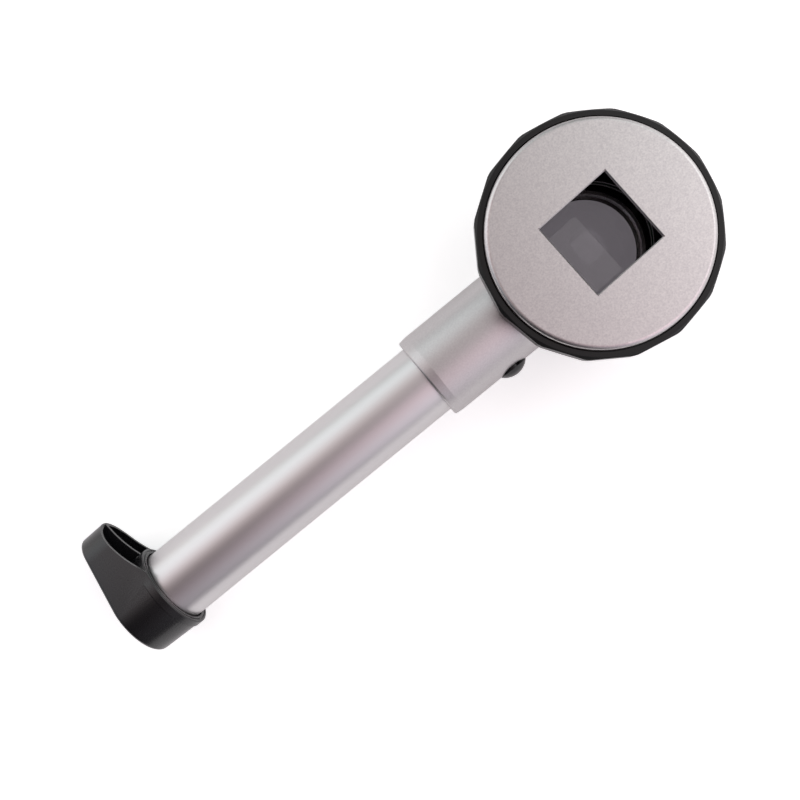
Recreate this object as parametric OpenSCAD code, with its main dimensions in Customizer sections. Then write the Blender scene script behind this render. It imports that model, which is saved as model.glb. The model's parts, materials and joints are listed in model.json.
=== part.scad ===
// Battery dermatoscope: a round viewing head on a tubular handle.
// The optical axis is vertical, the handle lies along X and its cap end is at -X.
// Sizes are in millimetres. The head stands on its eyepiece, face plate up.
// The head's radii are worked outwards from the lens, the handle's from the battery,
// and the face stands above the neck sleeve, so what lies round a size follows it.

/* [Face plate] */
// How far the round face plate reaches beyond the focusing drum's flange
plate_lap = 1.06; // [0.9:0.02:1.6]
// Depth of the face plate from its face to its under side
plate_t = 3; // [2.8:0.1:3.2]
// Radius of the plate's rounded rim
plate_edge = 1.2; // [0.6:0.1:1.6]
// Side of the square viewing window
window_side = 20.15; // [16:0.05:20.5]
// Turn of the window about the optical axis, in degrees
window_turn = 2.6; // [0:0.1:5]
// Thickness of the plate round the window
window_land = 1; // [0.8:0.1:1.6]
// Bevel on the window's edges
window_bevel = 0.25; // [0.1:0.05:0.4]

/* [Grip ring] */
// Number of flats round the grip ring
ring_sides = 16; // [12:4:24]
// How far the grip ring's corners stand out beyond the face plate
ring_margin = 2.35; // [1.8:0.05:3]
// Depth of the grip ring along the optical axis
ring_h = 5.7; // [5.2:0.1:6]
// Free height between the neck sleeve and the grip ring
ring_gap = 0.5; // [0.4:0.1:1.5]
// How far the face plate stands above the grip ring
plate_proud = 1.3; // [1.1:0.1:1.6]
// Bevel on the grip ring's upper and lower edges
ring_bevel = 0.75; // [0.6:0.05:1]
// How much is turned off the ring's corners
corner_cut = 0.12; // [0.05:0.01:0.3]
// How far the ring turns to each side, in degrees
ring_swing = 45; // [30:1:60]

/* [Lens and its cell] */
// Diameter of the magnifying lens
lens_d = 29.8; // [28:0.1:32]
// Thickness of the lens at its rim
lens_edge_t = 1.2; // [1:0.1:1.6]
// Height of the lens's curved face
lens_bulge = 4; // [3:0.1:4.4]
// Width of the flat band round the lens's curved face
lens_band = 1.6; // [1.2:0.1:2]
// Height of the lens cell
cell_h = 5.8; // [5.4:0.1:6]
// Free height between the lamp board and the lens cell at the top of its travel
cell_gap = 4.5; // [4:0.1:5]
// Height of the ring that holds the lens down
retainer_h = 2.7; // [2.2:0.1:3]
// Wall of the ring that holds the lens down
retainer_wall = 0.9; // [0.7:0.1:1.2]
// Travel of the lens to each side of the middle
focus_travel = 1.2; // [0.8:0.1:1.3]
// Wall of the lens cell on each side of a guide bore
cell_web = 1.2; // [1:0.1:1.5]

/* [Head housing] */
// Wall of the focusing drum
drum_wall = 1.75; // [1.5:0.05:2]
// Wall of the head housing
housing_wall = 2.9; // [2.6:0.1:3.3]
// Thickness of the housing's floor
floor_t = 2; // [1.8:0.1:2.4]
// Radius of the housing's rounded back edge
housing_edge = 1.6; // [0.8:0.1:2]
// How far the eyepiece ring stands out of the back
eyepiece_proud = 1; // [0.6:0.1:1.4]
// Wall of the eyepiece ring
eyepiece_wall = 1.1; // [0.9:0.1:1.4]
// Diameter of the guide screws where the lens cell slides on them
guide_d = 2.8; // [2.4:0.1:3]
// Diameter of the guide screws above their shoulder
shank_d = 2.2; // [1.6:0.1:2.2]

/* [Lamp] */
// Depth of the lamp board below the plate's face
lamp_depth = 15.2; // [14.6:0.1:15.6]
// Thickness of the lamp board
board_t = 1; // [0.8:0.1:1.2]
// Diameter of one lamp
led_d = 3; // [2:0.1:3]
// Height of one lamp above its board
led_h = 4.6; // [4:0.1:5.4]
// Half the angle between the two lamps of a pair, in degrees
led_spread = 10; // [8:0.5:12]

/* [Neck sleeve and button] */
// Wall of the neck sleeve round the handle tube
sleeve_wall = 2; // [1.8:0.1:2.4]
// Length of the sleeve from the head housing to its open end
sleeve_l = 26.8; // [24:0.1:32]
// Radius of the sleeve's rounded end
sleeve_edge = 0.6; // [0.3:0.1:1]
// Narrowing of the sleeve towards its open end, in radius
sleeve_taper = 0.2; // [0.1:0.05:0.5]
// Length of the sleeve that narrows
taper_l = 2.5; // [2:0.5:8]
// Metal between the drum's seal and the hole for the neck's spigot
spigot_web = 0.15; // [0.1:0.01:0.3]
// Wall of the neck's spigot round the passage for the leads
spigot_wall = 1.9; // [1.6:0.1:3]
// Width of the shoulder in the sleeve that the handle tube meets
tube_shoulder = 0.9; // [0.7:0.1:1.1]
// Distance of the button's middle from the head housing
button_gap = 8.26; // [8:0.02:9]
// Diameter of the button
button_d = 7.7; // [7:0.1:8]
// Height of the button's dome
dome_h = 1.7; // [1.2:0.1:2]
// How far the dome's crown stands beyond the sleeve
button_proud = 1.8; // [1.6:0.1:2.2]
// Travel of the button
button_travel = 1; // [0.6:0.1:1.2]

/* [Handle tube and cells] */
// Diameter of one battery
battery_d = 14.2; // [13.5:0.1:14.6]
// Length of one battery with its nub
battery_l = 50.5; // [44:0.5:52]
// Diameter of a battery's nub
nub_d = 5.5; // [4:0.1:6]
// Height of a battery's nub
nub_h = 1.2; // [1:0.1:1.5]
// Free gap between the batteries and the handle tube
battery_play = 0.5; // [0.3:0.1:0.7]
// Wall of the handle tube
tube_wall = 1.9; // [1.7:0.1:2.2]

/* [End cap] */
// Wall of the cap's collar at its rim
collar_wall = 1.62; // [1.4:0.01:1.9]
// Height of the collar from the cap's bottom to its rim
collar_h = 12.35; // [11.5:0.05:13.5]
// Narrowing of the cap from its rim to its bottom, in radius
cap_draft = 0.35; // [0.2:0.05:0.5]
// Height of the raised band round the collar's rim
rim_h = 2; // [1.2:0.1:3]
// How far the raised band stands out
rim_proud = 0.2; // [0.1:0.05:0.3]
// Thickness of the cap's floor
cap_floor = 2.7; // [2.4:0.1:3.2]
// Radius of the cap's rounded outer edge
cap_edge = 1; // [0.6:0.1:1.3]
// Reach of the lug from the handle's axis
lug_reach = 23.3; // [20:0.1:26]
// Radius of the lug's round tip
lug_tip_r = 8.2; // [6:0.1:9]
// How far the lug's bottom lies above the collar's
lug_rise = 1.5; // [0.8:0.1:1.8]
// Wall of the lug
lug_wall = 1; // [0.8:0.1:1.4]
// Thickness of the rib inside the lug
rib_t = 0.9; // [0.7:0.1:1.4]
// How far the rib stands above the lug's edge
rib_rise = 0.4; // [0.2:0.1:0.8]
// How far the lug's tip lies below the collar's rim
lug_drop = 4.2; // [3:0.1:5]
// Distance from the handle's axis at which the lug's edge begins to fall
scoop_start = 6.5; // [5:0.1:8]

/* [Clearances] */
// Gap of a close fit between fixed pieces
fit = 0.05; // [0.03:0.01:0.08]
// Radial gap of pieces that turn or slide in each other
run = 0.08; // [0.04:0.01:0.09]
// Free gap beside moving pieces
free = 0.3; // [0.2:0.05:0.35]

/* [Hidden] */
// Smoothness of round forms
$fn = 96;
// Small overlap that lets a cut pass cleanly through a face
cut = 1;
// Diagonal of a square against its side
root2 = sqrt(2);

// Radii of the handle, neck and cap, worked outwards from the battery
battery_r = battery_d / 2;
tube_bore_r = battery_r + battery_play;
tube_r = tube_bore_r + tube_wall;
chamber_r = tube_r - tube_shoulder;
sleeve_r = tube_r + sleeve_wall;
cap_bore_r = tube_r + run;
collar_r = cap_bore_r + collar_wall;

// Radii of the head, worked outwards from the lens
lens_r = lens_d / 2;
cell_bore_r = lens_r + fit;
guide_r = guide_d / 2;
shank_r = shank_d / 2;
guide_circle = cell_bore_r + cell_web + run + guide_r;
guide_count = 3;
cell_r = guide_circle + guide_r + run + cell_web;
drum_bore_r = cell_r + run;
drum_r = drum_bore_r + drum_wall;
housing_bore_r = drum_r + free;
housing_r = housing_bore_r + housing_wall;
flange_step = 0.6;
flange_r = housing_r + flange_step;
plate_r = flange_r + plate_lap;
corner_r = plate_r + ring_margin;
ring_r = corner_r - corner_cut;

// Levels of the head, from the sleeve up to the face and down again to the foot
ring_bottom = sleeve_r + ring_gap;
ring_top = ring_bottom + ring_h;
face_height = ring_top + plate_proud;
plate_under = face_height - plate_t;
flange_top = plate_under - free - fit;
flange_bottom = ring_bottom + free + fit;
housing_top = flange_bottom - free;
lamp_top = face_height - lamp_depth;
board_under = lamp_top - board_t;
cell_top = board_under - cell_gap - focus_travel;
cell_bottom = cell_top - cell_h;
floor_top = cell_bottom - focus_travel - free;
back_z = floor_top - floor_t;
foot_z = back_z - eyepiece_proud;
drum_bottom = floor_top + free;

// Hollow behind the window, between its corners and the guide screws
window_relief_r = (window_side / root2 + guide_circle - shank_r - fit) / 2;

// Lens
lens_cap_r = lens_r - lens_band;
lens_curve = (lens_cap_r * lens_cap_r + lens_bulge * lens_bulge) / (2 * lens_bulge);
lens_top = cell_top - retainer_h;
lens_seat = lens_top - lens_edge_t;
seat_bore_r = lens_cap_r + 2 * fit;

// Stop pin and its groove
stop_pin_r = 0.7;
stop_circle = (housing_bore_r + housing_r) / 2;
stop_groove_h = 1.8;
stop_pin_seat = 1.2;
stop_half_angle = ring_swing + asin((stop_pin_r + free / 2) / stop_circle);

// Seal between the drum and the housing
seal_r = 0.7;
seal_circle = drum_r + fit + seal_r;
seal_cover = 0.8;
seal_z = housing_top - stop_pin_seat - seal_cover - seal_r;

// Guide screws
screw_head_r = 1.8;
screw_head_h = 1.2;
screw_sink = 0.1;
screw_tip_gap = 0.4;
screw_bite = plate_t - window_land - screw_tip_gap;

// Eyepiece ring
eyepiece_web = 0.6;
eyepiece_r = guide_circle - screw_head_r - eyepiece_web;
eyepiece_lip = 0.4;

// Lamp board and shroud
board_bore_r = cell_bore_r + fit;
board_r = drum_bore_r - free - fit;
shroud_wall = 0.8;
shroud_floor_t = 0.8;
shroud_floor_z = lamp_top + 2 * shroud_floor_t;
boss_wall = 0.9;
boss_r = shank_r + boss_wall;
led_circle = (board_bore_r + board_r - shroud_wall) / 2;
led_angles = [for (side = [60, 180, 300]) for (way = [-1, 1]) side + way * led_spread];
chip_w = 1.2;
chip_l = 2.2;
chip_h = 0.6;

// Neck, button and switch
sleeve_end = housing_r + sleeve_l;
button_x = housing_r + button_gap;
spigot_r = seal_z - seal_r - fit - spigot_web - fit;
passage_r = spigot_r - spigot_wall;
button_r = button_d / 2;
button_flange_w = 0.45;
button_flange_r = button_r + button_flange_w;
button_flange_t = 0.8;
button_seat_gap = 0.25;
button_seat_y = button_seat_gap - sqrt(pow(chamber_r, 2) - pow(button_flange_r, 2));
dome_base_y = -(sleeve_r + button_proud - dome_h);
dome_sphere_r = (button_r * button_r + dome_h * dome_h) / (2 * dome_h);
chamber_room = 1.4;
chamber_end = -(button_x - button_flange_r - chamber_room);
carrier_t = 1.2;
carrier_front = -(button_x + button_flange_r + free);
carrier_back = carrier_front - carrier_t;
tube_seat = carrier_back - 2 * fit;
tube_front = tube_seat - 2 * fit;
contact_tip = tube_front - fit;
stud_r = 1.1;
stud_tail = 0.25;
mouth_l = 0.5;
mouth_gap = 0.4;
plunger_r = 1.5;
plunger_room = 0.9;
switch_top_y = button_seat_y + button_flange_t + button_travel + plunger_room;
switch_w = 7;
switch_l = 6;
board2_y = switch_top_y + switch_l;
board2_t = 1;
board2_back = carrier_front + 0.5;
board2_front = chamber_end - 0.6;
board2_half = sqrt(pow(chamber_r - fit, 2) - pow(board2_y + board2_t, 2)) - fit;

// Handle
battery_front_x = contact_tip;
battery_mid_x = battery_front_x - battery_l;
battery_back_x = battery_mid_x - battery_l;
spring_h = 1.9;
spring_wire_r = 0.35;
tail_contact_t = 0.4;
cap_inside = battery_back_x - spring_h - fit - tail_contact_t;
cap_bottom = cap_inside - cap_floor;
cap_rim = cap_bottom + collar_h;
tube_back = cap_inside + tail_contact_t + 2 * fit;

// End cap
mouth_r = tube_r + 0.4;
mouth_depth = 1.4;
rim_r = collar_r + rim_proud;
rim_bevel = 0.25;
rim_root_r = (cap_bore_r + collar_r) / 2;
rim_groove_r = (mouth_r + rim_r) / 2;
rim_groove_w = 0.24;
lug_centre = lug_reach - lug_tip_r;
lug_facets = 72;
scoop_y = lug_reach - lug_wall;
scoop_run = scoop_y - scoop_start;
scoop_r = (scoop_run * scoop_run + lug_drop * lug_drop) / (2 * lug_drop);

// Seal under the cap's collar
cap_seal_r = 0.5;
cap_seal_circle = cap_bore_r - fit - cap_seal_r;
cap_seal_cover = 0.4;
cap_seal_x = cap_rim - mouth_depth - cap_seal_cover - cap_seal_r;

// Leads, as routes of points from the switch to the lamp board
lead_r = 0.45;
thin_lead_r = 0.35;
lead_y = 2 * lead_r;
lead_z = board_under - lead_y - 0.4;
lead_end_x = -(board_r - 1.6);
lead_slot_h = 2.8;
lead_slot_z = lead_z - lead_slot_h / 2;
lead_room = 3.2;
lead_slot_half = ring_swing + asin(lead_room / drum_bore_r);

// Place of the origin: under the middle of the whole instrument, at its foot
mid_x = (ring_r + cap_bottom) / 2;

// Moves a piece from the axes of the optics and handle to the origin at the foot
module place() {
    translate([-mid_x, 0, -foot_z]) children();
}

// Lays a turned piece along the handle, its own height becoming X
module along_handle() {
    rotate([0, 90, 0]) children();
}

// Upright cylinder between two levels
module post(r, z0, z1) {
    translate([0, 0, z0]) cylinder(r = r, h = z1 - z0);
}

// Upright tube between two levels
module pipe(r, bore, z0, z1) {
    difference() {
        post(r, z0, z1);
        post(bore, z0 - cut, z1 + cut);
    }
}

// Copies round the optical axis at the guide screws
module at_guides() {
    for (i = [0 : guide_count - 1])
        rotate([0, 0, i * 360 / guide_count]) translate([guide_circle, 0, 0]) children();
}

// Part of a ring about the optical axis, centred on one direction
module ring_sector(r0, r1, z0, z1, half_angle, direction) {
    translate([0, 0, z0]) rotate([0, 0, direction - half_angle])
        rotate_extrude(angle = 2 * half_angle) translate([r0, 0]) square([r1 - r0, z1 - z0]);
}

// Half profile of a disc whose upper edge is round
module rounded_half(r, h, edge) {
    square([r - edge, h]);
    square([r, h - edge]);
    translate([r - edge, h - edge]) circle(edge);
}

// Round tube swept along a list of points; up is never along the route
function unit(v) = v / norm(v);
function heading(path, i) =
    unit(path[min(i + 1, len(path) - 1)] - path[max(i - 1, 0)]);
function swept_ring(path, i, r, sides, up) =
    let (ahead = heading(path, i), side = unit(cross(ahead, up)), over = cross(side, ahead))
    [for (k = [0 : sides - 1])
        path[i] + r * (cos(k * 360 / sides) * side + sin(k * 360 / sides) * over)];
module swept_tube(path, r, sides, up) {
    last = len(path) - 1;
    points = [for (i = [0 : last]) each swept_ring(path, i, r, sides, up)];
    walls = [for (i = [0 : last - 1]) for (k = [0 : sides - 1])
        let (a = i * sides + k, b = i * sides + (k + 1) % sides)
        each [[a, b, b + sides], [a, b + sides, a + sides]]];
    start = [for (k = [sides - 1 : -1 : 0]) k];
    finish = [for (k = [0 : sides - 1]) last * sides + k];
    polyhedron(points, concat(walls, [start], [finish]));
}

// Smooth points along a route of hand-placed corners
function bend(route, steps) =
    [for (i = [0 : len(route) - 2]) for (j = [0 : steps - 1])
        let (p0 = route[max(i - 1, 0)], p1 = route[i], p2 = route[i + 1],
            p3 = route[min(i + 2, len(route) - 1)], t = j / steps)
        0.5 * (2 * p1 + (p2 - p0) * t + (2 * p0 - 5 * p1 + 4 * p2 - p3) * t * t
            + (3 * p1 - p0 - 3 * p2 + p3) * t * t * t),
    route[len(route) - 1]];

// Round satin plate with a square window, thinned from behind round the window
module face_plate() {
    color([0.80, 0.79, 0.79]) difference() {
        translate([0, 0, plate_under]) rotate_extrude() rounded_half(plate_r, plate_t, plate_edge);
        post(window_relief_r, plate_under - cut, face_height - window_land);
        rotate([0, 0, window_turn]) {
            translate([-window_side / 2, -window_side / 2, plate_under])
                cube([window_side, window_side, plate_t + cut]);
            for (i = [0 : 3]) rotate([0, 0, i * 90])
                translate([window_side / 2, -window_side / 2 - window_bevel, face_height])
                rotate([0, 45, 0])
                translate([-window_bevel * root2 / 2, 0, -window_bevel * root2 / 2])
                cube([window_bevel * root2, window_side + 2 * window_bevel,
                    window_bevel * root2]);
        }
        at_guides() post(shank_r + fit, plate_under - cut, plate_under + screw_bite + fit);
    }
}

// Many-sided ring that the fingers turn, with bevelled edges
module grip_ring() {
    color([0.10, 0.10, 0.11]) difference() {
        intersection() {
            translate([0, 0, ring_bottom]) linear_extrude(ring_h)
                polygon([for (i = [0 : ring_sides - 1])
                    corner_r * [cos(i * 360 / ring_sides), sin(i * 360 / ring_sides)]]);
            translate([0, 0, ring_bottom]) rotate_extrude()
                polygon([[0, 0], [ring_r - ring_bevel, 0], [ring_r, ring_bevel],
                    [ring_r, ring_h - ring_bevel], [ring_r - ring_bevel, ring_h], [0, ring_h]]);
        }
        post(flange_r + fit, ring_bottom - cut, ring_top + cut);
        post(plate_r + free, plate_under - free, ring_top + cut);
    }
}

// Drum that the ring turns and whose thread lifts the lens cell
module focus_drum() {
    color([0.16, 0.16, 0.17]) difference() {
        union() {
            post(drum_r, drum_bottom, flange_top);
            post(flange_r, flange_bottom, flange_top);
        }
        post(drum_bore_r, drum_bottom - cut, flange_top + cut);
        ring_sector(drum_bore_r - cut, drum_r + cut, lead_slot_z, lead_slot_z + lead_slot_h,
            lead_slot_half, 180);
        ring_sector(stop_circle - stop_pin_r - free / 2, stop_circle + stop_pin_r + free / 2,
            flange_bottom - cut, flange_bottom + stop_groove_h, stop_half_angle, 0);
    }
}

// Pin in the housing's rim that ends the ring's swing
module stop_pin() {
    color("silver") translate([stop_circle, 0, 0])
        post(stop_pin_r, housing_top - stop_pin_seat, flange_bottom + stop_groove_h - free);
}

// Rubber ring that gives the drum its smooth drag
module drum_seal() {
    color([0.08, 0.08, 0.08]) translate([0, 0, seal_z])
        rotate_extrude() translate([seal_circle, 0]) circle(seal_r);
}

// Cup of the head, open towards the face, with the neck's hole in its side
module head_housing() {
    color([0.76, 0.76, 0.77]) difference() {
        translate([0, 0, housing_top]) mirror([0, 0, 1]) rotate_extrude()
            rounded_half(housing_r, housing_top - back_z, housing_edge);
        post(housing_bore_r, floor_top, housing_top + cut);
        post(eyepiece_r + fit, back_z - cut, floor_top + cut);
        along_handle() post(spigot_r + fit, -housing_r - cut, 0);
        pipe(seal_circle + seal_r + fit, housing_bore_r - cut, seal_z - seal_r - fit,
            seal_z + seal_r + fit);
        translate([stop_circle, 0, 0])
            post(stop_pin_r + fit / 2, housing_top - stop_pin_seat, housing_top + cut);
        at_guides() {
            post(guide_r + fit, back_z - cut, floor_top + cut);
            post(screw_head_r + fit, back_z - cut, back_z + screw_head_h + screw_sink);
        }
    }
}

// Carrier of the lens, threaded outside and guided by three bores
module lens_cell() {
    color([0.13, 0.13, 0.14]) difference() {
        post(cell_r, cell_bottom, cell_top);
        post(cell_bore_r, lens_seat, cell_top + cut);
        post(seat_bore_r, cell_bottom - cut, lens_seat + cut);
        at_guides() post(guide_r + run, cell_bottom - cut, cell_top + cut);
    }
}

// Magnifying glass, flat towards the object and curved towards the eye
module magnifier_lens() {
    color([0.75, 0.78, 0.80, 0.4]) {
        union() {
            post(lens_r, lens_seat, lens_top);
            intersection() {
                translate([0, 0, lens_seat - lens_bulge + lens_curve]) sphere(lens_curve);
                post(lens_cap_r, lens_seat - lens_bulge - cut, lens_top);
            }
        }
    }
}

// Screwed ring that holds the lens down, with two spanner slots
module lens_retainer() {
    slot_w = 1.6;
    slot_h = 0.7;
    color([0.55, 0.55, 0.57]) difference() {
        pipe(lens_r, lens_r - retainer_wall, lens_top, cell_top);
        translate([-slot_w / 2, -lens_r - cut, cell_top - slot_h])
            cube([slot_w, 2 * (lens_r + cut), slot_h + cut]);
    }
}

// Ring round the eyepiece that keeps the lens off the table
module eyepiece_ring() {
    color([0.09, 0.09, 0.10]) difference() {
        union() {
            post(eyepiece_r, foot_z, floor_top - free / 2);
            post(eyepiece_r + eyepiece_lip, foot_z, back_z);
        }
        post(eyepiece_r - eyepiece_wall, foot_z - cut, floor_top + cut);
    }
}

// Shoulder screws that guide the cell, carry the lamp board and tie the head together
module guide_screws() {
    slot_w = 0.6;
    slot_h = 0.6;
    head_z = back_z + screw_sink;
    color([0.62, 0.62, 0.64]) at_guides() difference() {
        union() {
            post(screw_head_r, head_z, head_z + screw_head_h);
            post(guide_r, head_z, board_under - fit / 2);
            post(shank_r, head_z, plate_under + screw_bite);
        }
        translate([-screw_head_r - cut, -slot_w / 2, head_z - cut])
            cube([2 * (screw_head_r + cut), slot_w, slot_h + cut]);
    }
}

// Ring-shaped circuit board of the lamps
module lamp_board() {
    color([0.10, 0.14, 0.12]) difference() {
        pipe(board_r, board_bore_r, board_under, lamp_top);
        at_guides() post(shank_r + fit, board_under - cut, lamp_top + cut);
    }
}

// Copies at the lamps
module at_lamps() {
    for (a = led_angles) rotate([0, 0, a]) translate([led_circle, 0, lamp_top]) children();
}

// Domed white lamps in three pairs
module lamps() {
    led_r = led_d / 2;
    foot_h = 0.8;
    foot_rim = 0.2;
    color([0.93, 0.93, 0.88, 0.8]) at_lamps() union() {
        cylinder(r = led_r + foot_rim, h = foot_h);
        cylinder(r = led_r, h = led_h - led_r);
        translate([0, 0, led_h - led_r]) sphere(led_r);
    }
}

// Small resistors under the lamp board
module lamp_resistors() {
    color([0.2, 0.2, 0.22]) for (a = [60, 300]) rotate([0, 0, a])
        translate([led_circle - chip_w / 2, -chip_l / 2, board_under - chip_h])
        cube([chip_w, chip_l, chip_h]);
}

// Space inside the shroud's wall between two levels, round the screw bosses
module shroud_space(z0, z1) {
    difference() {
        post(board_r - shroud_wall, z0, z1);
        at_guides() post(boss_r, z0 - cut, z1 + cut);
    }
}

// Black moulding between lamp board and plate that keeps stray light off the lens
module light_shroud() {
    shroud_floor_top = shroud_floor_z + shroud_floor_t;
    color([0.07, 0.07, 0.08]) difference() {
        pipe(board_r, board_bore_r, lamp_top, plate_under);
        shroud_space(lamp_top - cut, shroud_floor_z);
        shroud_space(shroud_floor_top, plate_under + cut);
        at_guides() post(shank_r + fit, lamp_top - cut, plate_under + cut);
        at_lamps() post(led_d / 2 + 0.15, cut, led_h);
    }
}

// Sleeve between handle and head: spigot, lead passage, switch chamber and tube socket
module neck_sleeve() {
    color([0.77, 0.77, 0.78]) difference() {
        union() {
            difference() {
                along_handle() union() {
                    translate([0, 0, -sleeve_end]) rotate_extrude() sleeve_half();
                }
                post(housing_r + fit, -sleeve_r - cut, sleeve_r + cut);
            }
            difference() {
                along_handle() post(spigot_r, -housing_r - cut, 0);
                post(housing_bore_r + fit, -sleeve_r - cut, sleeve_r + cut);
            }
        }
        along_handle() {
            post(passage_r, chamber_end - cut, 0);
            post(chamber_r, tube_seat - cut, chamber_end);
            post(tube_r + fit, -sleeve_end - cut, tube_seat);
            post(tube_r + mouth_gap, -sleeve_end - cut, -sleeve_end + mouth_l);
        }
        translate([-button_x, 0, 0]) rotate([90, 0, 0]) post(button_r + run, 0, sleeve_r + cut);
    }
}

// Half profile of the sleeve's outside, from its open end to the housing
module sleeve_half() {
    end_r = sleeve_r - sleeve_taper;
    translate([end_r - sleeve_edge, sleeve_edge]) circle(sleeve_edge);
    polygon([[0, 0], [end_r - sleeve_edge, 0], [end_r - sleeve_edge, sleeve_edge],
        [end_r, sleeve_edge], [sleeve_r, taper_l], [sleeve_r, sleeve_end - housing_r / 2],
        [0, sleeve_end - housing_r / 2]]);
}

// Handle tube, grooved for the seal under the cap
module handle_tube() {
    bevel = 0.4;
    length = tube_front - tube_back;
    color([0.74, 0.74, 0.75]) along_handle() difference() {
        translate([0, 0, tube_back]) rotate_extrude()
            polygon([[tube_bore_r, 0], [tube_r - bevel, 0], [tube_r, bevel],
                [tube_r, length - bevel], [tube_r - bevel, length], [tube_bore_r, length]]);
        pipe(tube_r + cut, cap_seal_circle - cap_seal_r - fit,
            cap_seal_x - cap_seal_r - fit, cap_seal_x + cap_seal_r + fit);
    }
}

// One battery whose nub points to the head and ends at front_x
module battery(front_x) {
    rim = 0.5;
    can_l = battery_l - nub_h;
    along_handle() translate([0, 0, front_x - battery_l]) {
        rotate_extrude() polygon([[0, 0], [battery_r - rim, 0], [battery_r, rim],
            [battery_r, can_l - rim], [battery_r - rim, can_l], [nub_d / 2, can_l],
            [nub_d / 2, battery_l], [0, battery_l]]);
    }
}

module battery_front() {
    color([0.25, 0.35, 0.55]) battery(battery_front_x - fit);
}

module battery_rear() {
    color([0.25, 0.35, 0.55]) battery(battery_mid_x - 2 * fit);
}

// Insulating disc that carries the front contact
module contact_carrier() {
    color([0.85, 0.83, 0.76]) along_handle()
        pipe(chamber_r - fit, stud_r + fit, carrier_back, carrier_front);
}

// Brass stud that meets the front battery's nub
module front_contact() {
    head_r = 2.4;
    color([0.80, 0.65, 0.30]) along_handle() union() {
        post(head_r, contact_tip, carrier_back);
        post(stud_r, contact_tip, carrier_front + stud_tail);
    }
}

// Black domed button with the flange that keeps it in the sleeve
module button_cap() {
    color([0.05, 0.05, 0.06]) translate([-button_x, 0, 0]) rotate([90, 0, 0]) union() {
        post(button_flange_r, -button_seat_y - button_flange_t, -button_seat_y);
        post(button_r, -button_seat_y - button_flange_t, -dome_base_y);
        intersection() {
            translate([0, 0, -dome_base_y + dome_h - dome_sphere_r]) sphere(dome_sphere_r);
            post(button_r, -button_seat_y, -dome_base_y + dome_h + cut);
        }
    }
}

// Stem of the switch, which the button pushes
module switch_plunger() {
    reach = 1.8;
    color([0.92, 0.92, 0.90]) translate([-button_x, 0, 0]) rotate([90, 0, 0])
        post(plunger_r, -switch_top_y - reach + button_travel,
            -button_seat_y - button_flange_t);
}

// Push switch under the button
module switch_body() {
    well = 2.4;
    color([0.12, 0.12, 0.13]) difference() {
        translate([-button_x - switch_w / 2, switch_top_y, -switch_w / 2])
            cube([switch_w, switch_l, switch_w]);
        translate([-button_x, 0, 0]) rotate([90, 0, 0])
            post(plunger_r + run, -switch_top_y - well, -switch_top_y + cut);
    }
}

// Board that carries the switch
module switch_board() {
    color([0.10, 0.35, 0.18]) translate([board2_back, board2_y, -board2_half])
        cube([board2_front - board2_back, board2_t, 2 * board2_half]);
}

// Moulding that beds the switch board against the chamber's far side
module switch_cradle() {
    color([0.15, 0.15, 0.16]) intersection() {
        along_handle() post(chamber_r - fit, board2_back, board2_front);
        translate([board2_back - cut, board2_y + board2_t + fit, -chamber_r])
            cube([board2_front - board2_back + 2 * cut, chamber_r, 2 * chamber_r]);
    }
}

// Leads: battery to switch, switch to lamps, and the return to the neck's metal
module lead_battery() {
    x = carrier_front + stud_tail + thin_lead_r;
    color([0.75, 0.10, 0.10]) swept_tube(bend([[x, 0.2, 0], [x, 0.5, 0.8],
        [x, board2_y - 0.5, 1.4], [x, board2_y - fit, 1.4]], 3), thin_lead_r, 8, [1, 0, 0]);
}

module lead_live() {
    start_x = board2_front - 1.2;
    color([0.75, 0.10, 0.10]) swept_tube(bend([
        [start_x, board2_y - lead_r - fit, 3.2],
        [chamber_end + 1.2, lead_y, 2.4],
        [chamber_end + 4, lead_y, lead_z],
        [lead_end_x - 2.6, lead_y, lead_z],
        [lead_end_x - 0.5, lead_y, lead_z + 0.2],
        [lead_end_x, lead_y, board_under - 2 * fit]], 4), lead_r, 8, [0, 1, 0]);
}

module lead_return() {
    wall_z = -sqrt(pow(passage_r, 2) - pow(lead_y, 2));
    color([0.08, 0.08, 0.08]) swept_tube(bend([
        [chamber_end + 1.6, -lead_y, wall_z + lead_r + 0.15],
        [chamber_end + 3, -lead_y, wall_z + 1.8],
        [chamber_end + 4.4, -lead_y, lead_z - 1.2],
        [lead_end_x - 3.2, -lead_y, lead_z],
        [lead_end_x - 0.5, -lead_y, lead_z + 0.2],
        [lead_end_x, -lead_y, board_under - 2 * fit]], 4), lead_r, 8, [0, 1, 0]);
}

// Half profile of a drafted disc whose lower edge is round, with fewer facets for a hull
module cap_half(r, h) {
    low_r = r - cap_draft;
    polygon([[0, 0], [low_r - cap_edge, 0], [low_r, cap_edge], [r, h], [0, h]]);
    translate([low_r - cap_edge, cap_edge]) circle(cap_edge, $fn = lug_facets / 3);
}

// Disc of the cap's outline from a raised bottom up to the rim
module cap_disc(r, rise) {
    translate([0, 0, rise]) rotate_extrude($fn = lug_facets) cap_half(r, collar_h - rise);
}

// Wide hollow that dips from the collar's rim to the lug's tip
module scoop(rise) {
    translate([0, scoop_y, collar_h - lug_drop + rise + scoop_r]) rotate([0, 90, 0])
        cylinder(r = scoop_r, h = 4 * collar_r, center = true);
}

// Solid teardrop whose upper edge follows the hollow
module cap_block() {
    difference() {
        hull() {
            cap_disc(collar_r, 0);
            translate([0, lug_centre, 0]) cap_disc(lug_tip_r, lug_rise);
        }
        scoop(0);
    }
}

// Hollow of the lug between its wall and the collar
module lug_pocket() {
    translate([0, 0, cap_floor]) difference() {
        linear_extrude(collar_h) hull() {
            circle(collar_r - lug_wall, $fn = lug_facets);
            translate([0, lug_centre]) circle(lug_tip_r - lug_wall, $fn = lug_facets);
        }
        translate([0, 0, -cut]) cylinder(r = rim_r, h = collar_h + 2 * cut);
    }
}

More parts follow.
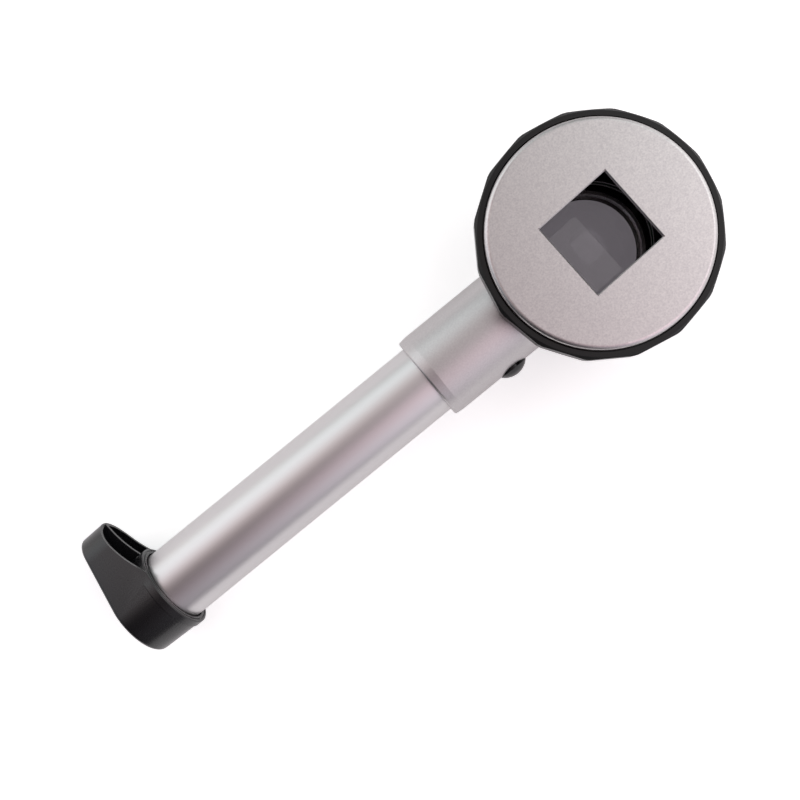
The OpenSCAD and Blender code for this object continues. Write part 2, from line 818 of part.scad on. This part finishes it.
// Rib inside the lug, from the collar to the tip
module lug_rib() {
    difference() {
        translate([-rib_t / 2, collar_r - rim_proud, cap_floor - fit])
            cube([rib_t, lug_reach - lug_wall / 2 - collar_r, collar_h - cap_floor - rim_bevel]);
        scoop(rib_rise);
    }
}

// Screw cap of the handle: collar with a grooved rim, and a cored teardrop lug
module end_cap() {
    color([0.12, 0.12, 0.13]) along_handle() translate([0, 0, cap_bottom]) difference() {
        union() {
            difference() {
                cap_block();
                lug_pocket();
            }
            lug_rib();
            rotate_extrude() polygon([[0, cap_floor], [rim_root_r, cap_floor],
                [rim_root_r, collar_h - rim_h - collar_wall / 2], [rim_r, collar_h - rim_h],
                [rim_r, collar_h - rim_bevel], [rim_r - rim_bevel, collar_h], [0, collar_h]]);
        }
        post(cap_bore_r, cap_floor, collar_h);
        post(mouth_r, collar_h - mouth_depth, collar_h + cut);
        pipe(rim_groove_r + rim_groove_w / 2, rim_groove_r - rim_groove_w / 2,
            collar_h - rim_groove_w, collar_h + cut);
    }
}

// Tinned plate on the cap's floor that meets the tube's end
module tail_contact() {
    hub_r = 1.2;
    color([0.70, 0.70, 0.68]) along_handle()
        pipe(cap_bore_r - fit, hub_r, cap_inside, cap_inside + tail_contact_t);
}

// Conical battery spring, wound from the plate to the rear battery
module tail_spring() {
    turns = 3;
    steps = 16;
    wide_r = tube_bore_r - 1.2;
    narrow_r = 2.4;
    low = cap_inside + tail_contact_t + fit + spring_wire_r;
    high = battery_back_x - 2 * fit - spring_wire_r;
    path = [for (i = [0 : turns * steps])
        let (t = i / (turns * steps), r = wide_r + (narrow_r - wide_r) * t)
        [low + (high - low) * t, r * cos(i * 360 / steps), r * sin(i * 360 / steps)]];
    color([0.66, 0.66, 0.68]) swept_tube(path, spring_wire_r, 8, [1, 0, 0]);
}

// Rubber ring on the tube under the cap's collar
module cap_seal() {
    color([0.08, 0.08, 0.08]) along_handle() translate([0, 0, cap_seal_x])
        rotate_extrude() translate([cap_seal_circle, 0]) circle(cap_seal_r);
}

place() face_plate();
place() grip_ring();
place() focus_drum();
place() stop_pin();
place() drum_seal();
place() head_housing();
place() lens_cell();
place() magnifier_lens();
place() lens_retainer();
place() eyepiece_ring();
place() guide_screws();
place() lamp_board();
place() lamps();
place() lamp_resistors();
place() light_shroud();
place() neck_sleeve();
place() handle_tube();
place() battery_front();
place() battery_rear();
place() contact_carrier();
place() front_contact();
place() button_cap();
place() switch_plunger();
place() switch_body();
place() switch_board();
place() switch_cradle();
place() lead_battery();
place() lead_live();
place() lead_return();
place() end_cap();
place() tail_contact();
place() tail_spring();
place() cap_seal();
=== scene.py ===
import json
import math

import bmesh
import bpy
from mathutils import Matrix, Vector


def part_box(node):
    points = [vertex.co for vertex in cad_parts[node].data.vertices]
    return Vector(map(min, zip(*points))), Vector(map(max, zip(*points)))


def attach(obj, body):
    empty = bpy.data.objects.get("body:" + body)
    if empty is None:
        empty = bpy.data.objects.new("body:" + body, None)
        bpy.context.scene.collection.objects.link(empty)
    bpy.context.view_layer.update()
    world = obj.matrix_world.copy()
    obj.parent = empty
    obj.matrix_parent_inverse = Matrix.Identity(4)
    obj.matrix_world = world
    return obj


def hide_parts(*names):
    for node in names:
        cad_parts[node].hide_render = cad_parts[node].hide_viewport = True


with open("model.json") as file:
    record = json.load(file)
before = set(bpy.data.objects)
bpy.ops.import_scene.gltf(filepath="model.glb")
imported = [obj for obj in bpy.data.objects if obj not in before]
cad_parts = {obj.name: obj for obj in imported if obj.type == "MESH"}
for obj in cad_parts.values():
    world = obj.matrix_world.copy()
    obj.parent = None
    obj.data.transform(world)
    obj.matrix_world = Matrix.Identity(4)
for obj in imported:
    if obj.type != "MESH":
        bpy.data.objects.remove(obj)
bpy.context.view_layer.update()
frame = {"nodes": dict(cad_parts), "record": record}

bl_info = {
    "name": "Dermatoscope",
    "version": (1, 0, 0),
    "blender": (4, 5, 0),
    "location": "View3D > Sidebar > Dermatoscope",
    "description": "Finishes the pieces of a dermatoscope and sets its studio stage",
    "category": "Object",
}

MM = 0.001
# Points nearer than this are joined
WELD = 1e-6
# Edges sharper than these stay crisp on the mouldings and on the leads
CRISP_ON_MOULDING = math.radians(28)
CRISP_ON_LEAD = math.radians(60)
# Steps in each turn of the spring, and sides of its wire
COIL_STEPS = 48
WIRE_SIDES = 14
# The band in which most of a noise texture's values lie
NOISE_LOW = 0.3
NOISE_HIGH = 0.7
NOISE_ROUGHNESS = 0.55


# Places taken from the frame, in metres

def middle(name):
    """The middle of a node's box."""
    low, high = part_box(name)
    return (low + high) / 2


OPTICS = middle("face_plate")
OPTICS.z = 0
HANDLE_Z = middle("handle_tube").z


# Colours and shader nodes

def hex_color(code):
    """An sRGB hex colour as the linear colour that shaders take."""
    parts = [int(code[i:i + 2], 16) / 255 for i in (1, 3, 5)]
    line = [c / 12.92 if c <= 0.04045 else ((c + 0.055) / 1.055) ** 2.4 for c in parts]
    return (*line, 1.0)


def add(tree, kind, links=None, **settings):
    """Adds a node. Settings name its properties or input sockets, links its inputs."""
    made = tree.nodes.new(kind)
    for name, value in settings.items():
        if name.startswith("in_"):
            made.inputs[name[3:].replace("_", " ")].default_value = value
        else:
            setattr(made, name, value)
    for name, source in (links or {}).items():
        tree.links.new(source, made.inputs[name])
    return made


def start_material(name, base, roughness, metallic=0.0, **shader):
    """A material with one Principled shader, and the tree and coordinates to add to."""
    material = bpy.data.materials.new(name)
    material.use_nodes = True
    tree = material.node_tree
    tree.nodes.clear()
    out = add(tree, "ShaderNodeOutputMaterial")
    bsdf = add(tree, "ShaderNodeBsdfPrincipled")
    bsdf.inputs["Base Color"].default_value = hex_color(base)
    bsdf.inputs["Roughness"].default_value = roughness
    bsdf.inputs["Metallic"].default_value = metallic
    for socket, value in shader.items():
        bsdf.inputs[socket.replace("_", " ")].default_value = value
    tree.links.new(bsdf.outputs[0], out.inputs["Surface"])
    place = add(tree, "ShaderNodeTexCoord").outputs["Object"]
    return material, tree, bsdf, place


def grain(tree, place, size_mm, detail=2.0):
    """Noise whose features are about size_mm across."""
    noise = add(tree, "ShaderNodeTexNoise", {"Vector": place},
                in_Scale=1 / (size_mm * MM), in_Detail=detail,
                in_Roughness=NOISE_ROUGHNESS)
    return noise.outputs["Fac"]


def spread(tree, value, low, high):
    """A 0..1 value mapped to low..high round its usual middle."""
    made = add(tree, "ShaderNodeMapRange", {"Value": value}, in_From_Min=NOISE_LOW,
               in_From_Max=NOISE_HIGH, in_To_Min=low, in_To_Max=high)
    return made.outputs["Result"]


def bump(tree, bsdf, height, depth_mm):
    """Bump of a real depth on the shader's normal."""
    made = add(tree, "ShaderNodeBump", {"Height": height}, in_Strength=1.0,
               in_Distance=depth_mm * MM)
    tree.links.new(made.outputs["Normal"], bsdf.inputs["Normal"])


def tint(tree, bsdf, factor, first, second):
    """Base colour mixed between two hex colours by a factor."""
    mix = add(tree, "ShaderNodeMix", {"Factor": factor}, data_type="RGBA")
    mix.inputs["A"].default_value = hex_color(first)
    mix.inputs["B"].default_value = hex_color(second)
    tree.links.new(mix.outputs["Result"], bsdf.inputs["Base Color"])


# Materials, one function for each finish; the neck's and the lens glass's colours hold painted
# shade

def blasted_aluminium(name="blasted_anodised_aluminium", light="#dcd8d7", dark="#c6c2c3",
                      gloss=0.31):
    """Aluminium blasted with beads and anodised clear: broad soft gloss, tiny dimples.

    The dimples are drawn about twice as wide as real ones, so that they show.
    """
    material, tree, bsdf, place = start_material(name, light, gloss, 1.0)
    beads = grain(tree, place, 0.22, 1.0)
    tint(tree, bsdf, spread(tree, grain(tree, place, 0.4, 3.0), 0.0, 1.0), light, dark)
    tree.links.new(spread(tree, beads, gloss - 0.02, gloss + 0.02), bsdf.inputs["Roughness"])
    bump(tree, bsdf, beads, 0.003)
    return material


def neck_aluminium_painted_shade():
    """The same blasting on the curved neck, in darker colours as painted shade: the shade round
    the neck is painted into its finish.
    """
    return blasted_aluminium("blasted_anodised_neck_painted_shade", "#cfcccc", "#c5c1c2", 0.4)


def satin_aluminium():
    """Drawn tube, etched and anodised clear: silky, with long faint draw lines.

    The lines are drawn coarser than real ones, so that they show.
    """
    material, tree, bsdf, place = start_material("satin_anodised_aluminium", "#d9d7d7", 0.34, 1.0)
    stretched = add(tree, "ShaderNodeMapping", {"Vector": place}, in_Scale=(0.03, 1.0, 1.0))
    lines = grain(tree, stretched.outputs["Vector"], 0.25, 2.0)
    fine = grain(tree, place, 0.12, 1.0)
    tint(tree, bsdf, lines, "#dad8d8", "#d6d3d4")
    tree.links.new(spread(tree, fine, 0.30, 0.38), bsdf.inputs["Roughness"])
    bump(tree, bsdf, fine, 0.003)
    return material


def black_aluminium():
    """Turned aluminium, dyed black in anodising: dark, with a tight satin gloss."""
    material, tree, bsdf, place = start_material(
        "black_anodised_aluminium", "#0a0a0b", 0.30, 0.0, Specular_IOR_Level=0.38)
    fine = grain(tree, place, 0.15, 1.0)
    tree.links.new(spread(tree, fine, 0.26, 0.36), bsdf.inputs["Roughness"])
    tint(tree, bsdf, grain(tree, place, 6.0), "#09090a", "#0d0d0e")
    bump(tree, bsdf, fine, 0.003)
    return material


def turned_aluminium():
    """Bare turned aluminium: bright, with fine rings from the tool."""
    material, tree, bsdf, place = start_material("turned_aluminium", "#c9c9cb", 0.30, 1.0)
    fine = grain(tree, place, 0.1, 1.0)
    tree.links.new(spread(tree, fine, 0.24, 0.36), bsdf.inputs["Roughness"])
    bump(tree, bsdf, fine, 0.003)
    return material


def black_abs():
    """Black ABS from a fine-eroded mould: satin, slightly grey under light."""
    material, tree, bsdf, place = start_material(
        "moulded_black_abs", "#0b0b0d", 0.26, 0.0, Specular_IOR_Level=0.7)
    fine = grain(tree, place, 0.16, 2.0)
    tree.links.new(spread(tree, fine, 0.23, 0.32), bsdf.inputs["Roughness"])
    tint(tree, bsdf, grain(tree, place, 5.0), "#0a0a0c", "#0e0e11")
    bump(tree, bsdf, fine, 0.006)
    return material


def gloss_black_abs():
    """Black ABS from a polished mould: deep and shiny, with slight waviness."""
    material, tree, bsdf, place = start_material("polished_black_abs", "#0c0c0d", 0.16)
    bump(tree, bsdf, grain(tree, place, 1.5), 0.004)
    tree.links.new(spread(tree, grain(tree, place, 0.8), 0.13, 0.2), bsdf.inputs["Roughness"])
    return material


def pale_nylon():
    """Natural nylon moulding: warm off-white that light enters a little."""
    material, tree, bsdf, place = start_material(
        "natural_nylon", "#d9d3c2", 0.45, 0.0, Subsurface_Weight=0.1, Subsurface_Scale=0.001)
    tint(tree, bsdf, grain(tree, place, 2.0), "#dcd6c6", "#d2ccba")
    bump(tree, bsdf, grain(tree, place, 0.3), 0.004)
    return material


def clear_epoxy():
    """Clear cast epoxy over a small yellow die: a smooth pale lamp dome."""
    material, tree, bsdf, place = start_material(
        "cast_clear_epoxy", "#f2f1e6", 0.08, 0.0, Transmission_Weight=0.6, IOR=1.52)
    tint(tree, bsdf, grain(tree, place, 1.2), "#f4f3ea", "#ece7cf")
    return material


def glass_fibre_board():
    """Glass-fibre board under green solder mask, with the weave just showing."""
    material, tree, bsdf, place = start_material("solder_masked_board", "#0b1f16", 0.32)
    weave = add(tree, "ShaderNodeTexWave", {"Vector": place}, bands_direction="DIAGONAL",
                in_Scale=1 / (1.2 * MM), in_Distortion=0.4)
    tint(tree, bsdf, weave.outputs["Fac"], "#0a1c14", "#0d2419")
    bump(tree, bsdf, weave.outputs["Fac"], 0.004)
    return material


def ceramic_chip():
    """Fired ceramic resistor with a dark glaze."""
    material, tree, bsdf, place = start_material("glazed_ceramic_chip", "#1c1c20", 0.3)
    tint(tree, bsdf, grain(tree, place, 0.4), "#1a1a1e", "#26262b")
    return material


def shade_tinted_glass():
    """Ground and coated crown glass, tinted grey-mauve as painted shade: the tint darkens what is
    seen through it, as the shaded floor under the head and the coating's reflections do.
    """
    # the grey-mauve tint is painted shade on what is seen through the lens
    material, tree, bsdf, place = start_material(
        "coated_crown_glass_painted_shade", "#b8b1b9", 0.02, 0.0, Transmission_Weight=1.0, IOR=1.52)
    tint(tree, bsdf, grain(tree, place, 5.0), "#bbb4bc", "#b2abb3")
    return material


def turned_steel():
    """Turned and passivated steel: grey, with a fine tool finish."""
    material, tree, bsdf, place = start_material("turned_steel", "#b4b3b2", 0.28, 1.0)
    fine = grain(tree, place, 0.12, 1.0)
    tree.links.new(spread(tree, fine, 0.22, 0.36), bsdf.inputs["Roughness"])
    bump(tree, bsdf, fine, 0.003)
    return material


def nickel_wire():
    """Nickel-plated spring wire: bright and smooth, drawn along its length."""
    material, tree, bsdf, place = start_material("nickel_plated_wire", "#c6c3bb", 0.2, 1.0)
    tint(tree, bsdf, grain(tree, place, 0.8), "#cac7bf", "#bbb8af")
    return material


def battery_film():
    """Printed shrink film on a battery's can: smooth and slightly metallic."""
    material, tree, bsdf, place = start_material("printed_shrink_film", "#27457a", 0.3, 0.4)
    tint(tree, bsdf, grain(tree, place, 8.0), "#25437a", "#2b4c84")
    return material


def plated_brass():
    """Turned and plated brass: warm and bright."""
    material, tree, bsdf, place = start_material("plated_brass", "#cfae6b", 0.25, 1.0)
    tint(tree, bsdf, grain(tree, place, 0.9), "#d2b270", "#c6a45f")
    return material


def nitrile_rubber():
    """Moulded nitrile rubber: black, dull, with a dusty bloom."""
    material, tree, bsdf, place = start_material("moulded_nitrile", "#141415", 0.62)
    tint(tree, bsdf, grain(tree, place, 0.7), "#131314", "#1b1b1c")
    bump(tree, bsdf, grain(tree, place, 0.2), 0.006)
    return material


def wire_cover(name, base, worn):
    """Extruded PVC on a thin lead: smooth and slightly waxy."""
    material, tree, bsdf, place = start_material(name, base, 0.35)
    tint(tree, bsdf, grain(tree, place, 1.0), base, worn)
    return material


def red_wire():
    """The live leads' red cover."""
    return wire_cover("extruded_red_pvc", "#a01515", "#8c1010")


def black_wire():
    """The return lead's black cover."""
    return wire_cover("extruded_black_pvc", "#141414", "#1c1c1c")


FINISHES = {
    "blasted_anodised": blasted_aluminium, "satin_anodised": satin_aluminium,
    "black_anodised": black_aluminium, "bare_aluminium": turned_aluminium,
    "black_moulding": black_abs, "black_gloss": gloss_black_abs, "pale_plastic": pale_nylon,
    "lamp_lens": clear_epoxy, "board_green": glass_fibre_board, "chip_black": ceramic_chip,
    "lens_glass": shade_tinted_glass, "steel": turned_steel, "spring_steel": nickel_wire,
    "battery_film": battery_film, "brass": plated_brass, "seal_rubber": nitrile_rubber,
    "wire_red": red_wire, "wire_black": black_wire,
}
_made = {}


def finish(slot):
    """The material of one of the record's slots, made once."""
    if slot not in _made:
        _made[slot] = FINISHES[slot]()
    return _made[slot]


def node_slot(name):
    """The material slot that the record gives a node."""
    return next(s["material_slot"] for s in frame["record"]["subparts"] if s["node"] == name)


def dress(*names, material=None):
    """Gives CAD nodes the finish of their own slots, or one material for all of them."""
    for name in names:
        mesh = frame["nodes"][name].data
        mesh.materials.clear()
        mesh.materials.append(material or finish(node_slot(name)))


# Pieces that stand for the frame's faceted ones

def body_of(node):
    """The body on which the record puts a node."""
    bodies = frame["record"]["behaviour"]["bodies"]
    return next(name for name, nodes in bodies.items() if node in nodes)


def place_piece(mesh, name, node):
    """A new object for a finished mesh, riding where its node rides and standing for it."""
    mesh.name = name
    piece = bpy.data.objects.new(name, mesh)
    bpy.context.scene.collection.objects.link(piece)
    mesh.materials.clear()
    mesh.materials.append(finish(node_slot(node)))
    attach(piece, body_of(node))
    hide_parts(node)
    return piece


def smooth_copy(node, name, sharp_above):
    """A copy of a node's mesh with joined points and smooth shading between its sharp edges."""
    mesh = frame["nodes"][node].data.copy()
    if mesh.has_custom_normals:
        mesh.attributes.remove(mesh.attributes["custom_normal"])
    shape = bmesh.new()
    shape.from_mesh(mesh)
    bmesh.ops.remove_doubles(shape, verts=shape.verts, dist=WELD)
    bmesh.ops.dissolve_degenerate(shape, edges=shape.edges, dist=WELD)
    for face in shape.faces:
        face.smooth = True
    for edge in shape.edges:
        edge.smooth = len(edge.link_faces) == 2 and edge.calc_face_angle(0) < sharp_above
    shape.to_mesh(mesh)
    shape.free()
    return place_piece(mesh, name, node)


def round_wire(node, name):
    """A smooth, rounder lead in place of a node's faceted one."""
    piece = smooth_copy(node, name, CRISP_ON_LEAD)
    finer = piece.modifiers.new("round", "SUBSURF")
    finer.levels = 1
    finer.render_levels = 1
    return piece


def spring_tree():
    """Geometry Nodes that wind a round wire into a conical spring standing on its wide end."""
    tree = bpy.data.node_groups.new("conical_spring", "GeometryNodeTree")
    face = tree.interface
    for name, kind in (("Turns", "NodeSocketFloat"), ("Wide radius", "NodeSocketFloat"),
                       ("Narrow radius", "NodeSocketFloat"), ("Height", "NodeSocketFloat"),
                       ("Wire radius", "NodeSocketFloat"), ("Finish", "NodeSocketMaterial")):
        face.new_socket(name, in_out="INPUT", socket_type=kind)
    face.new_socket("Spring", in_out="OUTPUT", socket_type="NodeSocketGeometry")
    sizes = add(tree, "NodeGroupInput").outputs
    coil = add(tree, "GeometryNodeCurveSpiral",
               {"Rotations": sizes["Turns"], "Start Radius": sizes["Wide radius"],
                "End Radius": sizes["Narrow radius"], "Height": sizes["Height"]},
               in_Resolution=COIL_STEPS)
    wire = add(tree, "GeometryNodeCurvePrimitiveCircle", {"Radius": sizes["Wire radius"]},
               in_Resolution=WIRE_SIDES)
    body = add(tree, "GeometryNodeCurveToMesh",
               {"Curve": coil.outputs["Curve"], "Profile Curve": wire.outputs["Curve"]},
               in_Fill_Caps=True)
    whole = add(tree, "GeometryNodeRealizeInstances", {"Geometry": body.outputs["Mesh"]})
    dressed = add(tree, "GeometryNodeSetMaterial",
                  {"Geometry": whole.outputs["Geometry"], "Material": sizes["Finish"]})
    add(tree, "NodeGroupOutput", {"Spring": dressed.outputs["Geometry"]})
    return tree


def wound_spring(settings):
    """The battery spring, wound in the space that its node holds."""
    low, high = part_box("tail_spring")
    wire = settings.wire / 2
    values = {"Turns": settings.turns, "Wide radius": (high.y - low.y) / 2 - wire,
              "Narrow radius": settings.tip_width / 2, "Height": high.x - low.x - 2 * wire,
              "Wire radius": wire, "Finish": finish("spring_steel")}
    holder = bpy.data.objects.new("spring_maker", bpy.data.meshes.new("spring_maker"))
    bpy.context.scene.collection.objects.link(holder)
    winding = holder.modifiers.new("winding", "NODES")
    winding.node_group = spring_tree()
    for item in winding.node_group.interface.items_tree:
        if item.in_out == "INPUT":
            winding[item.identifier] = values[item.name]
    view = bpy.context.evaluated_depsgraph_get()
    mesh = bpy.data.meshes.new_from_object(holder.evaluated_get(view))
    bpy.data.objects.remove(holder)
    lay = Matrix.Rotation(math.radians(90), 4, "Y")
    mesh.transform(Matrix.Translation((low.x + wire, 0, HANDLE_Z)) @ lay)
    for face in mesh.polygons:
        face.use_smooth = True
    return place_piece(mesh, "wound_spring", "tail_spring")


# Sizes that a user would change

class SpringSettings(bpy.types.PropertyGroup):
    """Sizes of the battery spring"""
    turns: bpy.props.FloatProperty(
        name="Turns", description="Turns of the battery spring", default=3.0)
    wire: bpy.props.FloatProperty(
        name="Wire", description="Thickness of the spring's wire", default=0.0007, unit="LENGTH")
    tip_width: bpy.props.FloatProperty(
        name="Narrow end", description="Width of the spring's last turn", default=0.0048,
        unit="LENGTH")


class StageSettings(bpy.types.PropertyGroup):
    """Place and lens of the camera"""
    lens_mm: bpy.props.FloatProperty(
        name="Camera lens", description="Focal length on a 36 mm sensor", default=40.5)
    camera_height: bpy.props.FloatProperty(
        name="Camera height", description="Camera's height above the handle's axis",
        default=0.225, unit="LENGTH")
    camera_back: bpy.props.FloatProperty(
        name="Camera set back", description="From the optical axis towards the handle",
        default=0.05267, unit="LENGTH")
    camera_side: bpy.props.FloatProperty(
        name="Camera to the button side", description="From the handle's axis",
        default=0.0090, unit="LENGTH")
    handle_turn: bpy.props.FloatProperty(
        name="Turn of the handle", description="Angle of the handle in the picture",
        default=math.radians(39.2), subtype="ANGLE")
    shift_x: bpy.props.FloatProperty(
        name="Shift across", description="Sideways shift", default=-0.0601)
    shift_y: bpy.props.FloatProperty(
        name="Shift up", description="Upwards shift", default=0.0105)


# Operators

class SCOPE_OT_metal(bpy.types.Operator):
    """Finishes the anodised aluminium pieces"""
    bl_idname = "scope.metal"
    bl_label = "Aluminium pieces"

    def execute(self, context):
        dress("face_plate", "head_housing", "handle_tube", "grip_ring", "focus_drum",
              "lens_cell", "lens_retainer")
        # the neck takes a darker copy of the blasted finish: painted shade
        dress("neck_sleeve", material=neck_aluminium_painted_shade())
        return {"FINISHED"}


class SCOPE_OT_mouldings(bpy.types.Operator):
    """Finishes the moulded plastic pieces"""
    bl_idname = "scope.mouldings"
    bl_label = "Mouldings"

    def execute(self, context):
        dress("button_cap", "eyepiece_ring", "light_shroud", "switch_body", "switch_cradle",
              "switch_plunger", "contact_carrier")
        smooth_copy("end_cap", "moulded_end_cap", CRISP_ON_MOULDING)
        return {"FINISHED"}


class SCOPE_OT_inside(bpy.types.Operator):
    """Finishes the lens, lamps, electrics, fasteners and seals"""
    bl_idname = "scope.inside"
    bl_label = "Inner pieces"

    def execute(self, context):
        dress("magnifier_lens", "guide_screws", "lamp_board", "lamps", "lamp_resistors",
              "stop_pin", "drum_seal", "cap_seal", "battery_front", "battery_rear",
              "front_contact", "switch_board", "tail_contact")
        for node in ("lead_battery", "lead_live", "lead_return"):
            round_wire(node, "round_" + node)
        wound_spring(context.scene.scope_spring)
        return {"FINISHED"}


class SCOPE_OT_stage(bpy.types.Operator):
    """Sets the floor, the studio light and the camera"""
    bl_idname = "scope.stage"
    bl_label = "Stage"

    def execute(self, context):
        settings = context.scene.scope_stage
        make_floor()
        make_world(context.scene)
        make_camera(context.scene, settings)
        context.scene.view_settings.view_transform = "Standard"
        return {"FINISHED"}


# Stage

FLOOR_SIDE = 4.0
PAPER_WHITE = 0.9
# Glow that the floor adds for the camera, and what gloss and clear glass see of it
FLOOR_LIFT = 0.54
FLOOR_IN_GLOSS = 0.22
SENSOR_MM = 36
NEAR_CLIP = 0.01

# The soft panels of the studio: tilt from overhead, turn from the head's side towards
# the lug, half width, colour and strength
PANELS = {
    "past_the_head": (38, 0, 16, "#fafffe", 1.5),
    "high_on_the_lug_side": (32, 120, 16.5, "#ffe4e2", 0.7),
    "high_on_the_button_side": (32, -60, 16.5, "#ffe4ec", 1.1),
    "window_on_the_lug_side": (60, 90, 18, "#f2ffff", 0.95),
    "window_behind_the_cap": (60, 135, 18, "#e8f4ff", 0.75),
    "wall_on_the_button_side": (62, -85, 18, "#fbf4ff", 0.8),
    "low_on_the_lug_side": (86, 120, 20, "#fff6f2", 0.85),
    "low_past_the_head": (90, 0, 27, "#ffffff", 1.3),
    "low_on_the_button_side": (90, -55, 22, "#ffffff", 0.7),
}


def seen_directly(tree, *kinds):
    """One for rays of the given kinds, such as the camera's own, and zero for the rest."""
    path = add(tree, "ShaderNodeLightPath")
    seen = path.outputs[kinds[0]]
    for kind in kinds[1:]:
        either = add(tree, "ShaderNodeMath", operation="MAXIMUM")
        tree.links.new(seen, either.inputs[0])
        tree.links.new(path.outputs[kind], either.inputs[1])
        seen = either.outputs[0]
    return seen


def make_floor():
    """A pale paper floor at the height on which the head stands."""
    mesh = bpy.data.meshes.new("floor")
    half = FLOOR_SIDE / 2
    mesh.from_pydata([(-half, -half, 0), (half, -half, 0), (half, half, 0), (-half, half, 0)],
                     [], [(0, 1, 2, 3)])
    floor = bpy.data.objects.new("floor", mesh)
    bpy.context.scene.collection.objects.link(floor)
    material = bpy.data.materials.new("white_paper")
    material.use_nodes = True
    tree = material.node_tree
    tree.nodes.clear()
    paper = add(tree, "ShaderNodeBsdfDiffuse",
                in_Color=(PAPER_WHITE, PAPER_WHITE, PAPER_WHITE, 1))
    lift = add(tree, "ShaderNodeMath", {"Value": seen_directly(tree, "Is Camera Ray")},
               operation="MULTIPLY")
    lift.inputs[1].default_value = FLOOR_LIFT - FLOOR_IN_GLOSS
    gloss = add(tree, "ShaderNodeMath", operation="MULTIPLY_ADD")
    seen = seen_directly(tree, "Is Camera Ray", "Is Glossy Ray", "Is Transmission Ray")
    tree.links.new(seen, gloss.inputs[0])
    gloss.inputs[1].default_value = FLOOR_IN_GLOSS
    tree.links.new(lift.outputs[0], gloss.inputs[2])
    white = add(tree, "ShaderNodeEmission", {"Strength": gloss.outputs[0]}, in_Color=(1, 1, 1, 1))
    both = add(tree, "ShaderNodeAddShader")
    tree.links.new(paper.outputs[0], both.inputs[0])
    tree.links.new(white.outputs[0], both.inputs[1])
    out = add(tree, "ShaderNodeOutputMaterial")
    tree.links.new(both.outputs[0], out.inputs["Surface"])
    mesh.materials.append(material)


def panel_glow(tree, direction, tilt, turn, half_width, colour, strength):
    """The light of one soft panel, brightest at its middle and fading outwards."""
    tilt, turn, half_width = (math.radians(v) for v in (tilt, turn, half_width))
    middle_way = (math.sin(tilt) * math.cos(turn), math.sin(tilt) * math.sin(turn), math.cos(tilt))
    near = add(tree, "ShaderNodeVectorMath", operation="DOT_PRODUCT")
    tree.links.new(direction, near.inputs[0])
    near.inputs[1].default_value = middle_way
    away = add(tree, "ShaderNodeMath", operation="SUBTRACT")
    tree.links.new(near.outputs["Value"], away.inputs[0])
    away.inputs[1].default_value = 1.0
    fall = add(tree, "ShaderNodeMath", operation="MULTIPLY")
    tree.links.new(away.outputs[0], fall.inputs[0])
    fall.inputs[1].default_value = 1 / half_width ** 2
    level = add(tree, "ShaderNodeMath", operation="EXPONENT")
    tree.links.new(fall.outputs[0], level.inputs[0])
    glow = add(tree, "ShaderNodeVectorMath", operation="SCALE")
    glow.inputs[0].default_value = [strength * c for c in hex_color(colour)[:3]]
    tree.links.new(level.outputs[0], glow.inputs["Scale"])
    return glow.outputs["Vector"]


def make_world(scene):
    """Soft panels light the object; the camera and clear glass see plain white instead."""
    world = bpy.data.worlds.new("studio")
    scene.world = world
    world.use_nodes = True
    tree = world.node_tree
    tree.nodes.clear()
    direction = add(tree, "ShaderNodeTexCoord").outputs["Generated"]
    total = None
    for panel in PANELS.values():
        glow = panel_glow(tree, direction, *panel)
        if total is None:
            total = glow
            continue
        both = add(tree, "ShaderNodeVectorMath", operation="ADD")
        tree.links.new(total, both.inputs[0])
        tree.links.new(glow, both.inputs[1])
        total = both.outputs["Vector"]
    air = add(tree, "ShaderNodeBackground", {"Color": total}, in_Strength=1.0)
    white = add(tree, "ShaderNodeBackground", in_Color=(1, 1, 1, 1), in_Strength=1.0)
    mix = add(tree, "ShaderNodeMixShader",
              {"Fac": seen_directly(tree, "Is Camera Ray", "Is Transmission Ray")})
    tree.links.new(air.outputs[0], mix.inputs[1])
    tree.links.new(white.outputs[0], mix.inputs[2])
    out = add(tree, "ShaderNodeOutputWorld")
    tree.links.new(mix.outputs[0], out.inputs["Surface"])


def make_camera(scene, settings):
    """The camera looks straight down, with a small shift for the picture's frame."""
    data = bpy.data.cameras.new("camera")
    data.lens = settings.lens_mm
    data.sensor_width = SENSOR_MM
    data.shift_x = settings.shift_x
    data.shift_y = settings.shift_y
    data.clip_start = NEAR_CLIP
    camera = bpy.data.objects.new("camera", data)
    scene.collection.objects.link(camera)
    camera.location = (OPTICS.x - settings.camera_back, OPTICS.y - settings.camera_side,
                       HANDLE_Z + settings.camera_height)
    camera.rotation_euler = (0, 0, -settings.handle_turn)
    scene.camera = camera


class SCOPE_PT_panel(bpy.types.Panel):
    """Lists the pieces and the stage"""
    bl_idname = "SCOPE_PT_panel"
    bl_label = "Dermatoscope"
    bl_space_type = "VIEW_3D"
    bl_region_type = "UI"
    bl_category = "Dermatoscope"

    def draw(self, context):
        for group in (context.scene.scope_spring, context.scene.scope_stage):
            for name in group.bl_rna.properties.keys():
                if name not in ("rna_type", "name"):
                    self.layout.prop(group, name)
        for step in STEPS:
            self.layout.operator(step.bl_idname)


GROUPS = {"scope_spring": SpringSettings, "scope_stage": StageSettings}
STEPS = (SCOPE_OT_metal, SCOPE_OT_mouldings, SCOPE_OT_inside, SCOPE_OT_stage)


def register():
    for group in GROUPS.values():
        bpy.utils.register_class(group)
    for name, group in GROUPS.items():
        setattr(bpy.types.Scene, name, bpy.props.PointerProperty(type=group))
    for step in STEPS:
        bpy.utils.register_class(step)
    bpy.utils.register_class(SCOPE_PT_panel)


def unregister():
    bpy.utils.unregister_class(SCOPE_PT_panel)
    for step in reversed(STEPS):
        bpy.utils.unregister_class(step)
    for name in GROUPS:
        delattr(bpy.types.Scene, name)
    for group in GROUPS.values():
        bpy.utils.unregister_class(group)


def main():
    register()
    for step in STEPS:
        area, call = step.bl_idname.split(".")
        getattr(getattr(bpy.ops, area), call)()


if __name__ == "__main__":
    main()
